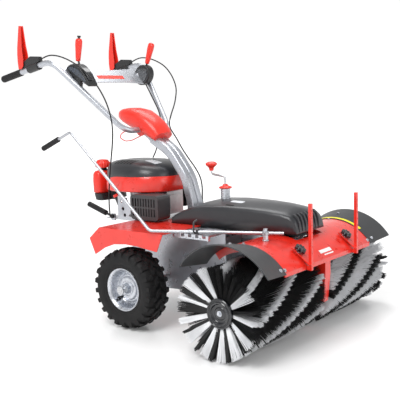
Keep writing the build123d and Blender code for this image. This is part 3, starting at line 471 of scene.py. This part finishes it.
def tyre(side):
    """Carcass with rounded shoulders, and knobbly tread blocks in four staggered rows."""
    middle = side * TYRE_MIDDLE
    half = [(77, 40), (84, 45), (90, 50), (99, 55), (103, 54.5), (107, 57), (122, 58.8), (128, 58.2),
            (132, 58.8),
            (143, 55), (150, 48), (154, 38), (155.5, 20), (156, 0)]
    profile = half + [(r, -h) for r, h in reversed(half[:-1])]
    profile += [(100, -30), (134, -36), (140, 0), (134, 36), (100, 30)]
    points, faces = spun(profile, (0, middle, WHEEL_Z), (0, 1, 0), 96)

    def knob(angle, width, y0, y1, skew, r_base, r_top, drop=0.0):
        corner = []
        for r, shrink in ((r_base, 1.0), (r_top, 0.80)):
            for y, turn in ((y0, -skew), (y1, skew)):
                for edge in (-1, 1):
                    a = angle + math.radians(turn + edge * width / 2 * shrink)
                    reach = r - (drop if abs(y) > 40 else 0.0)
                    y_here = (y0 + y1) / 2 + (y - (y0 + y1) / 2) * (1.0 if r == r_base else 0.88)
                    corner.append((reach * math.sin(a), middle + y_here, WHEEL_Z + reach * math.cos(a)))
        start = len(points)
        points.extend(corner)
        for quad in ((0, 1, 3, 2), (4, 6, 7, 5), (0, 4, 5, 1), (2, 3, 7, 6), (0, 2, 6, 4), (1, 5, 7, 3)):
            faces.append(tuple(start + i for i in quad))

    lugs = 22
    for index in range(lugs):
        angle = 2 * math.pi * index / lugs
        step = math.pi / lugs
        knob(angle, 9.5, 2, 25, 3.0, 154, 164.6)
        knob(angle + step, 9.5, -25, -2, -3.0, 154, 164.6)
        for flank in (-1, 1):
            shift = step if flank > 0 else 0.0
            low, high = sorted((flank * 28, flank * 55))
            knob(angle + shift, 8.5, low, high, 0.0, 148, 163.0, 7.0)
            low, high = sorted((flank * 52, flank * 58.9))
            knob(angle + shift, 8.0, low, high, 0.0, 132, 154, 0.0)
    name = "left" if side > 0 else "right"
    build("tyre_tread_" + name, points, faces, "tyre", "wheel_" + name, ["tyre_" + name], 30.0)


def rim(side):
    """Deep-dished pressed wheel with stepped rings, hub tube, valve and hub cap."""
    name = "left" if side > 0 else "right"
    middle = side * TYRE_MIDDLE
    profile = [(86, -50.5), (88, -51), (88, -47), (80, -44), (77.5, -38), (76.5, -20), (72, -14), (72, 14),
               (76.5, 20), (77.5, 38), (80, 44), (88, 47), (88, 51), (85.5, 51.5), (82, 49), (77, 44),
               (74.5, 36),
               (73, 22), (70, 9), (66, 5.5), (62, 5.5), (60, 8), (57, 13), (54, 14.5), (50, 14.5), (47, 17),
               (45, 22.5),
               (42, 24), (32, 24), (30, 21), (25, 20), (21.5, 22), (20.5, 26), (20.5, 46), (19, 48),
               (10.1, 48),
               (10.1, -48), (20, -48), (20.5, 10), (30, 12), (45, 12), (50, 6), (68, 1), (69, -44),
               (80, -50.5)]
    spin("rim_dish_" + name, profile, (0, middle, WHEEL_Z), (0, side, 0), "zinc", "wheel_" + name,
         ["rim_" + name], 96)
    spin("rim_valve_" + name, [(0.1, 4), (5.5, 4), (5, 9), (3.6, 12), (3.6, 26), (4.2, 27), (4.2, 36),
                               (0.1, 37)],
         (-46, middle, WHEEL_Z - 42), (0, side, 0), "rubber", "wheel_" + name, count=20)
    spin("hub_cap_" + name, [(0.1, 59.5), (15, 59.5), (17.5, 61), (17.5, 66.5), (13, 67.6), (9, 67.8),
                             (8.5, 66.6),
                             (0.1, 66.6)], (0, middle, WHEEL_Z), (0, side, 0), "steel", "axle", count=48)


for side in (-1, 1):
    tyre(side)
    rim(side)


# ------------------------------------------------------------------ brush
BRUSH_X, BRUSH_Z = 548.0, 172.0
HUB_R, TIP_R = 47.0, 171.0


ROW_LEAN = 0.0030          # radians that a row of tufts turns in each millimetre along the brush


def brush_half(side):
    """Rings of fibre tufts in leaning rows: black with pale rows, or pale with black rows, and end fans."""
    points, faces, marks = [], [], []

    def fibre(root, tip, width, pale):
        along = (tip - root).normalized()
        flank = along.orthogonal().normalized()
        other = along.cross(flank)
        start = len(points)
        for share, size in ((0.0, width), (0.6, width), (1.0, width * 0.8)):
            middle = root.lerp(tip, share)
            for corner in range(3):
                angle = 2 * math.pi * corner / 3
                points.append(tuple(middle + (flank * math.cos(angle) + other * math.sin(angle)) * size))
        for ring in (0, 3):
            for i in range(3):
                j = (i + 1) % 3
                faces.append((start + ring + i, start + ring + j, start + ring + 3 + j, start + ring + 3 + i))
        faces.append((start + 6, start + 7, start + 8))
        marks.extend([1 if pale else 0] * 7)

    def tuft(angle, y_root, y_tip, pale, across, deep, columns, rows, width, reach=TIP_R, ragged=1.5):
        for column in range(columns):
            for row in range(rows):
                a = 2 * column / (columns - 1) - 1
                b = 2 * row / (rows - 1) - 1
                turn_root = angle + a * min(across, 6.0) / HUB_R
                turn_tip = angle + a * across / TIP_R + CHANCE.uniform(-0.008, 0.008)
                length = min(reach - abs(CHANCE.gauss(0, ragged)), 171.5)
                root = Vector((BRUSH_X + HUB_R * math.sin(turn_root), side * (y_root + b * 4),
                               BRUSH_Z + HUB_R * math.cos(turn_root)))
                y_end = min(y_tip + b * deep + CHANCE.uniform(-1, 1), 522.5)
                tip = Vector((BRUSH_X + length * math.sin(turn_tip), side * y_end,
                              BRUSH_Z + length * math.cos(turn_tip)))
                fibre(root, tip, width, pale)

    rings, around = 18, 24
    for ring in range(rings):
        y = 38 + 24.4 * ring
        splay = max(0, ring - rings + 4) * 6.0
        for index in range(around):
            angle = 2 * math.pi * index / around - (side * y) * ROW_LEAN + 0.30
            pale = (index % 3 == 0) == (side < 0)
            across = (9 if side < 0 else 12) if index % 3 == 0 else 19
            reach = TIP_R if index % 3 == 0 else TIP_R - 5
            tuft(angle, y, y + splay, pale, across, 7.0, 7, 3, 1.7, reach)
    fans = 26
    for index in range(fans):
        angle = 2 * math.pi * index / fans + 0.13 + CHANCE.uniform(-0.07, 0.07)
        width = CHANCE.choice((4, 7, 10, 17))
        pale = index % 2 == 0 and width != 7
        tuft(angle, 473, 504, pale, width, 12, 7, 5, 1.6, TIP_R, 5.0)
    name = "left" if side > 0 else "right"
    build("brush_tufts_" + name, points, faces, ["fibre_black", "fibre_white"], "brush", ["bristles_" + name],
          80.0, marks)
    spin("brush_core_" + name, [(14.2, 28), (47, 28), (48, 30), (48, 474), (47, 476), (14.2, 476)],
         (BRUSH_X, 0, BRUSH_Z), (0, side, 0), "black_plastic", "brush")
    spin("brush_disc_" + name,
         [(0.1, 476.5), (52, 476.5), (55, 479), (55.5, 484), (54.5, 489), (52, 491), (49, 491), (47, 488.5),
          (44.5, 488.5), (43, 491), (40, 492.5), (36.5, 491), (33, 484), (31, 482.5), (24, 482.5), (21, 485),
          (19, 486), (0.1, 486)],
         (BRUSH_X, 0, BRUSH_Z), (0, side, 0), "gloss_black", "brush", count=72)
    bolt("brush_bolt_" + name, (BRUSH_X, side * 486, BRUSH_Z), (0, side, 0), 7.0, "brush", "zinc", 7.0)


spin("brush_spindle", [(0.1, -478), (14, -478), (14, 478), (0.1, 478)], (BRUSH_X, 0, BRUSH_Z), (0, 1, 0),
     "steel",
     "brush", ["brush_shaft"], 40)
for side in (-1, 1):
    brush_half(side)


# ------------------------------------------------------------------ hood over the belts
def hood():
    """Pressed cover: upright sides, a tight shoulder and a gently crowned top."""
    stations = [(50, 426, 156, 405), (52, 439, 156, 405), (60, 446, 155.5, 405), (85, 461, 154, 405),
                (130, 480, 151, 405), (170, 492, 149, 405), (200, 499, 147, 398), (300, 505, 138, 398),
                (420, 504, 127, 398), (500, 499, 120, 398), (560, 491, 114, 398), (596, 481, 110, 398),
                (616, 464, 107, 398), (626, 442, 105, 398), (631, 412, 103, 398)]
    section = [(0.0, 0.0), (0.35, 1.0), (0.66, 3.0), (0.73, 5.0), (0.79, 9.5), (0.835, 16.0), (0.87, 26.0),
               (0.91, 44.0), (0.96, 72.0), (0.99, 95.0)]
    rings = []
    for x, top, half, low in stations:
        ring = [(x, -half + min(inset, half * 0.9), low + (top - low) * share) for share, inset in section]
        ring.append((x, 0, top))
        ring += [(px, -py, pz) for px, py, pz in reversed(ring[:-1])]
        rings.append(ring)
    size = len(rings[0])
    points = [p for ring in rings for p in ring]
    faces = []
    for level in range(len(rings) - 1):
        for i in range(size - 1):
            a = level * size + i
            faces.append((a, a + 1, a + size + 1, a + size))
    last = (len(rings) - 1) * size
    faces.append(tuple(range(last, last + size)))
    faces.append(tuple(range(size)))
    cover = build("hood_skin", points, faces, "hood_black", "chassis", ["belt_hood"], 32.0)
    shell = cover.modifiers.new("thickness", "SOLIDIFY")
    shell.thickness = 0.003
    shell.offset = -1
    for rib in range(7):
        y = -84 + 24 * rib
        lines = [(624, 404), (634, 404), (632, 438), (623, 461), (609, 474), (602, 470), (616, 440)]
        moulding("hood_rib_%d" % rib, lines, y, y + 9, 1.6, "hood_black", "chassis", (), 2)
    return cover


HOOD = hood()
patch("hood_label", HOOD, (330, -62, 500), (1, 0, 0), (0, 1, 0.2), 62, 26, "label", "chassis")
# Painted shade: a flat near-black patch stands in for the shade inside a port in the hood.
patch("hood_port_shade", HOOD, (322, -108, 494), (1, 0, 0.05), (0, 1, 0.5), 40, 12, "pit", "chassis")


# ------------------------------------------------------------------ engine
def engine():
    band = [oval(-402, -50, 156, 522, 2.7), oval(-406, -46, 160.5, 526, 2.7), oval(-407, -45, 162, 556, 2.7),
            oval(-406, -46, 161, 588, 2.7, dip=16), oval(-403, -50, 158, 592, 2.7, dip=16)]
    points, faces = lofted(band)
    build("engine_band", points, faces, "red_paint", "chassis", ["engine_shroud"], 45.0)
    levels = [(-402, -52, 157, 586, 16), (-405, -47, 160, 589, 16), (-405, -50, 158.5, 606, 6),
              (-402, -62, 151, 624, 1),
              (-396, -84, 139, 638, 0), (-386, -110, 123, 647, 0), (-370, -142, 102, 653, 0),
              (-340, -184, 72, 656, 0),
              (-300, -220, 36, 656.8, 0)]
    points, faces = lofted([oval(r, f, h, z, 2.6, dip=d) for r, f, h, z, d in levels])
    cover = build("engine_cover", points, faces, "hood_black", "chassis", ["engine_top_cover"], 50.0)
    # Painted shade: flat near-black patches stand in for the shade inside the cover's vent slots.
    for slot in range(6):
        patch("engine_slot_%d" % slot, cover, (-302 + 19 * slot, -98, 648), (1, 0, 0), (0, 0.8, 0.6), 9, 58,
              "pit",
              "chassis", 0.8, 5.0, 4, 24)
    patch("engine_label", cover, (-142, -46, 650), (1, -0.1, -0.15), (0.1, 0.9, 0.3), 74, 46, "label",
          "chassis")


engine()


def fuel_tank():
    tank = [oval(-470, -418, 84, 500, 3.5), oval(-476, -412, 90, 506, 3.5), oval(-477, -411, 91, 560, 3.5),
            oval(-475, -413, 89, 590, 3.5), oval(-468, -420, 82, 602, 3.2), oval(-455, -434, 66, 606, 3.0)]
    tank = [[(x, y - 30, z) for x, y, z in ring] for ring in tank]
    points, faces = lofted(tank)
    build("tank_body", points, faces, "red_plastic", "chassis", ["fuel_tank"], 45.0)
    base = [oval(-462, -404, 82, 467, 3.5), oval(-468, -400, 86, 470, 3.5), oval(-474, -408, 89, 499, 3.5)]
    points, faces = lofted([[(x, y - 30, z) for x, y, z in ring] for ring in base])
    build("tank_base", points, faces, "black_plastic", "chassis", (), 45.0)
    strap = [(-414, 470), (-330, 466), (-330, 474), (-398, 482), (-404, 590), (-414, 592)]
    moulding("tank_strap", strap, -64, -30, 2.5, "black_plastic", "chassis")
    neck = [(12, 603), (22, 603), (20, 610), (18, 612), (18, 617), (12, 617)]
    spin("tank_neck", [(r, z) for r, z in neck], (-446, -66, 0), (0, 0, 1), "black_plastic", "chassis",
         count=40)
    ribs = 18
    profile = [(0.1, 618), (34, 618), (36, 621), (36, 634), (34, 641), (30, 645), (27, 649), (24, 653),
               (14, 655),
               (0.1, 655.4)]
    points, faces = spun(profile, (-446, -66, 0), (0, 0, 1), ribs * 4, closed=False)
    shaped = []
    for index, (x, y, z) in enumerate(points):
        notch = index // len(profile) % 4 > 1 and 620 < z < 646
        wave = 0.93 if notch else 1.0
        shaped.append((-446 + (x + 446) * wave, -66 + (y + 66) * wave, z))
    build("fuel_cap_ribbed", shaped, faces, "red_plastic", "fuel_cap", ["fuel_cap"])


fuel_tank()


# ------------------------------------------------------------------ shroud on the column's head
def shroud():
    """Bulbous moulded shell: loops square to its own middle line."""
    line = [((-118, 758), 34, 54), ((-134, 774), 46, 57), ((-160, 794), 54, 61), ((-194, 814), 60, 64),
            ((-232, 834), 62, 65), ((-276, 846), 57, 65), ((-316, 855), 46, 60), ((-344, 862), 33, 48),
            ((-364, 866), 18, 28), ((-372, 867), 5, 9)]
    rings = []
    for index, ((x, z), high, wide) in enumerate(line):
        before = line[max(index - 1, 0)][0]
        after = line[min(index + 1, len(line) - 1)][0]
        run = Vector((after[0] - before[0], 0, after[1] - before[1])).normalized()
        up = Vector((-run.z, 0, run.x))
        if up.z < 0:
            up = -up
        ring = []
        for step in range(32):
            t = 2 * math.pi * step / 32
            c, s = math.cos(t), math.sin(t)
            a = wide * math.copysign(abs(c) ** 0.8, c)
            b = high * 0.80 * math.copysign(abs(s) ** 0.8, s)
            ring.append((x + up.x * b, a, z + up.z * b))
        rings.append(ring)
    points, faces = lofted(rings)
    build("shroud_shell", points, faces, "red_plastic", "chassis", ["handle_shroud"], 60.0)


shroud()


# ------------------------------------------------------------------ handlebar
GRIP_END, ARM_TOP, CROSS = (-855, 1043), (-508, 1108), (-213, 792)


def grips():
    run = Vector((ARM_TOP[0] - GRIP_END[0], 0, ARM_TOP[1] - GRIP_END[1])).normalized()
    profile = [(0.1, -4), (12, -4), (15.2, -2.5), (16.3, 1), (16.3, 6)]
    for rib in range(17):
        h = 9 + 7.2 * rib
        profile += [(15.2, h), (16.3, h + 1.6), (16.3, h + 4.4), (15.2, h + 6)]
    profile += [(15.2, 132), (16.3, 134), (16.3, 138), (13.1, 139), (13.1, 0), (0.1, 0)]
    for side in (-1, 1):
        name = "left" if side > 0 else "right"
        spin("grip_ribbed_" + name, profile, (GRIP_END[0], side * 290, GRIP_END[1]), run, "rubber",
             "handlebar",
             ["handle_grips"], 40, sharp=50.0)


grips()


def box_frame(pivot):
    lean = Vector((CROSS[0] - ARM_TOP[0], 0, CROSS[1] - ARM_TOP[1])).normalized()
    up = Vector((-lean.z, 0, lean.x))
    return lambda along, out: (pivot[0] + lean.x * along + up.x * out, pivot[1] + lean.z * along + up.z * out)


def control_boxes():
    case = [(-468, 1074), (-462, 1068), (-330, 989), (-325, 991), (-325, 1000), (-332, 1013), (-342, 1028),
            (-358, 1047), (-374, 1064), (-390, 1077), (-406, 1086), (-422, 1091), (-440, 1090), (-458, 1083)]
    moulding("speed_box", case, -240, -188, 4.0, "black_plastic", "handlebar", ["control_box_right"])
    face = [(-456, 1073), (-348, 1008), (-344, 1012), (-352, 1028), (-368, 1046), (-384, 1060), (-402, 1071),
            (-424, 1078), (-444, 1079)]
    moulding("speed_box_face", face, -241.6, -237, 1.6, "slate", "handlebar")
    for groove in range(4):
        share = 0.2 + 0.2 * groove
        x, z = -452 + 100 * share, 1074 - 61 * share
        moulding("speed_box_rib_%d" % groove, [(x, z), (x + 2, z - 1), (x + 14, z + 17 + groove),
                                               (x + 12, z + 18 + groove)],
                 -242.2, -240, 0.5, "gloss_black", "handlebar", (), 1)
    gate = [(-428, 1088), (-404, 1085), (-384, 1074), (-364, 1057), (-346, 1035), (-334, 1015), (-329, 1017),
            (-341, 1039), (-359, 1061), (-380, 1079), (-402, 1090.5), (-428, 1094)]
    moulding("speed_box_gate", gate, -233, -195, 1.6, "gloss_black", "handlebar")
    foot = [(-440, 1060), (-378, 1022), (-384, 980), (-424, 1016)]
    moulding("speed_box_foot", foot, -240, -222, 3.0, "black_plastic", "handlebar")
    at = box_frame((-421, 1047))
    turns = [math.radians(a) for a in range(0, 360, 10)]
    moulding("throttle_box", [at(46 * math.cos(a), 52 * math.sin(a)) for a in turns], 196, 236, 6.0,
             "black_plastic",
             "handlebar", ["control_box_left"])
    for ring, (reach, proud) in enumerate(((38, 1.6), (30, 0.4), (22, 2.0))):
        moulding("throttle_box_ring_%d" % ring, [at(reach * 0.9 * math.cos(a),
                                                    reach * math.sin(a)) for a in turns],
                 196 - proud, 198, 0.8, "gloss_black" if ring != 1 else "slate", "handlebar", (), 2)
    # Painted highlight: a pale plate on the box's glossy ring stands in for the white highlight on it.
    plate = [(-452, 1056), (-446, 1032), (-436, 1034), (-442, 1058)]
    moulding("throttle_box_highlight", plate, 193.4, 196, 0.5, "label", "handlebar", (), 1)


control_boxes()


def stick(name, base, top, y, node, body, pivot):
    """Lever handle that swells towards its rounded top, on a thin stem."""
    base, top = Vector((base[0], y, base[1])), Vector((top[0], y, top[1]))
    run = (top - base).normalized()
    flat = Vector((run.z, 0, -run.x))
    length = (top - base).length
    rings = []
    for share, wide, thick in ((0, 7, 7), (0.02, 10, 9), (0.2, 12, 10), (0.45, 14, 11), (0.7, 16, 12.5),
                               (0.88, 16, 12.5), (0.97, 13, 10), (1.0, 7, 5)):
        middle = base + run * length * share
        rings.append([tuple(middle + flat * wide * math.copysign(abs(math.cos(t)) ** 0.75, math.cos(t))
                            + Vector((0, 1, 0)) * thick * math.copysign(abs(math.sin(t)) ** 0.75,
                                                                        math.sin(t)))
                      for t in (2 * math.pi * k / 24 for k in range(24))])
    points, faces = lofted(rings)
    build(name, points, faces, "red_plastic", body, [node], 60.0)
    tube(name + "_stem", [(pivot[0], y, pivot[1]), tuple((base + Vector((pivot[0], y, pivot[1]))) / 2),
                          tuple(base + run * 6)], 4.5, "black_plastic", body)


stick("speed_stick", (-415.4, 1103), (-402, 1201), -214, "speed_lever", "speed_lever", (-393, 1052))
stick("throttle_stick", (-398, 1100), (-361, 1196), 214, "throttle_lever", "throttle_lever", (-421, 1047))


# ------------------------------------------------------------------ cables
RIGHT_CABLE = [(-574, -290, 1120), (-530, -291, 1134), (-468, -294, 1130), (-400, -297, 1112),
               (-330, -300, 1082),
               (-268, -298, 1042), (-218, -292, 990), (-186, -280, 930), (-176, -264, 868), (-184, -246, 806),
               (-206, -230, 744), (-230, -218, 682), (-250, -210, 620), (-266, -204, 556), (-276, -200, 492),
               (-280, -196, 436), (-281, -192, 412)]
LEFT_CABLE = [(-574, 290, 1120), (-530, 290, 1138), (-470, 288, 1136), (-404, 284, 1118), (-340, 278, 1088),
              (-290, 266, 1046), (-252, 248, 1004), (-223, 224, 969), (-198, 188, 934), (-175, 150, 899),
              (-163, 108, 852), (-153, 78, 802), (-104, 72, 752), (-60, 56, 706), (-18, 48, 664),
              (23, 45, 623),
              (56, 43, 578), (64, 42, 530), (60, 42, 485), (66, 42, 448)]
THROTTLE_CABLE = [(-402, 206, 1000), (-368, 194, 962), (-320, 173, 914), (-278, 156, 870), (-249, 134, 828),
                  (-238, 106, 790), (-228, 84, 752), (-216, 66, 716), (-214, 52, 686), (-226, 44, 660)]

for name, route, node, fixed, swung in (
        ("cable_right", RIGHT_CABLE, "clutch_cable_right", (-240, -212, 650), (-268, -298, 1042)),
        ("cable_left", LEFT_CABLE, "clutch_cable_left", (-60, 56, 706), (-290, 266, 1046)),
        ("cable_throttle", THROTTLE_CABLE, "throttle_cable", (-228, 84, 752), (-368, 194, 962))):
    piece = tube(name, route, 3.0, "rubber", None)
    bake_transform(piece)
    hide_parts(node)


# ------------------------------------------------------------------ steering rod grip and height crank
def rod_grip():
    end, knee = Vector((-454, -400, 730)), Vector((-280, -400, 799))
    profile = [(0.1, -9), (8, -9), (10.5, -7), (11.5, -3)]
    for rib in range(13):
        h = 0 + 7.4 * rib
        profile += [(10.2, h), (11.4, h + 1.5), (11.4, h + 4.6), (10.2, h + 6.2)]
    profile += [(10.4, 99), (11.6, 101), (11.6, 104), (6.1, 105), (6.1, -8), (0.1, -8)]
    spin("rod_grip_ribbed", profile, end, knee - end, "rubber", "steering_rod", ["rod_grip"], 32, sharp=50.0)


rod_grip()


def crank():
    tube("crank_arm", [(222, 0, 480), (222, 0, 560), (222, 0, 584), (220, 0, 592), (210, 0, 594),
                       (190, 0, 597),
                       (162, 0, 600), (152, 0, 603), (150, 0, 611), (150, 0, 630), (150, 0, 646)], 4.6,
                       "steel",
         "height_crank", ["height_crank"])
    spin("crank_disc", [(5.2, 543.5), (25, 543.5), (28, 546), (28, 549), (25, 551), (12, 556), (9, 562),
                        (5.2, 562)],
         (222, 0, 0), (0, 0, 1), "red_plastic", "height_crank", count=48)


crank()


# ------------------------------------------------------------------ star knobs
def star_knob(side):
    """Eight-lobed clamping knob on its washer and stud."""
    name = "left" if side > 0 else "right"
    slope = math.radians(53)
    out = Vector((math.cos(slope), 0, math.sin(slope)))
    along = Vector((math.sin(slope), 0, -math.cos(slope)))
    base = Vector((BRUSH_X, side * 177, BRUSH_Z)) + out * 218.3
    count = 64
    rings = []
    for reach, lift in ((15, 13), (21, 13.4), (23, 16), (23.4, 22), (22.4, 26.5), (18, 29.4), (9, 30),
                        (7, 28.6)):
        ring = []
        for step in range(count):
            t = 2 * math.pi * step / count
            lobe = 0.80 + 0.20 * math.cos(8 * t) if reach > 10 else 1.0
            spot = base + out * lift + (along * math.cos(t) + Vector((0, 1, 0)) * math.sin(t)) * reach * lobe
            ring.append(tuple(spot))
        rings.append(ring)
    points, faces = lofted(rings)
    build("star_knob_lobed_" + name, points, faces, "gloss_black", "star_knob_" + name,
          ["star_knob_" + name], 50.0)
    spin("star_knob_washer_" + name, [(0.1, 0.2), (4, 0.2), (4, 9.6), (12, 9.6), (12, 12.8), (0.1, 12.8)],
         base, out,
         "zinc", "star_knob_" + name, count=32)


for side in (-1, 1):
    star_knob(side)


# ------------------------------------------------------------------ bolts, labels and marks
def arc_band(name, radius, y0, y1, a0, a1, finish, lift=0.5):
    """A thin sticker that follows the curved sheets over the brush."""
    points, faces = [], []
    across, around = 6, 40
    for i in range(across + 1):
        y = y0 + (y1 - y0) * i / across
        for j in range(around + 1):
            a = math.radians(a0 + (a1 - a0) * j / around)
            r = radius(y) + lift
            points.append((BRUSH_X + r * math.cos(a), y, BRUSH_Z + r * math.sin(a)))
    for i in range(across):
        for j in range(around):
            k = i * (around + 1) + j
            faces.append((k, k + 1, k + around + 2, k + around + 1))
    return build(name, points, faces, finish, "head")


def guard_radius(y):
    return 220.5 + 22.5 * (abs(y) - 327) / 140


arc_band("cover_mark", lambda y: 218.0, -52, 34, 44.0, 48.0, "white_mark")
arc_band("cover_mark_bar", lambda y: 218.0, -34, 34, 41.0, 42.4, "white_mark")
arc_band("guard_band", guard_radius, 331, 345, 56, 112, "yellow")

for index, (x, y, z) in enumerate(((536, -399, 404), (536, 399, 404), (720, -352, 322), (720, 352, 322),
                                   (713, -320, 314), (713, 320, 314), (536, -316, 390), (536, 316, 390))):
    slope = math.atan2(z - BRUSH_Z, x - BRUSH_X)
    out = (math.cos(slope), 0, math.sin(slope))
    radius = 218.2 if abs(y) < 327 else guard_radius(y)
    bolt("guard_bolt_%d" % index, (BRUSH_X + radius * out[0], y, BRUSH_Z + radius * out[2]), out, 5.0, "head")

spin("rod_pin_sleeve", [(5.3, 389), (12, 389), (12, 392), (9.6, 393), (9.6, 411.4), (5.3, 411.4)],
     (570, -222, 0),
     (0, 0, 1), "zinc", "head", count=32)
bolt("rod_pin_nut", (570, -222, 424.3), (0, 0, 1), 8.5, "head", "zinc", 10.0)


def plate_mark():
    """Plain stripe on the panel between the handlebar's arms."""
    out = Vector((316, 0, 295)).normalized()

    def spot(share, y, lift):
        return tuple(Vector((-508 + 295 * share, y, 1108 - 316 * share)) + out * lift)
    rings = []
    for y in (-84, -28, 28, 84):
        rings.append([spot(0.215, y, 5.0), spot(0.215, y, 5.5), spot(0.265, y, 5.5), spot(0.265, y, 5.0)])
    points, faces = lofted(rings)
    build("plate_stripe", points, faces, "mark", "handlebar")


plate_mark()
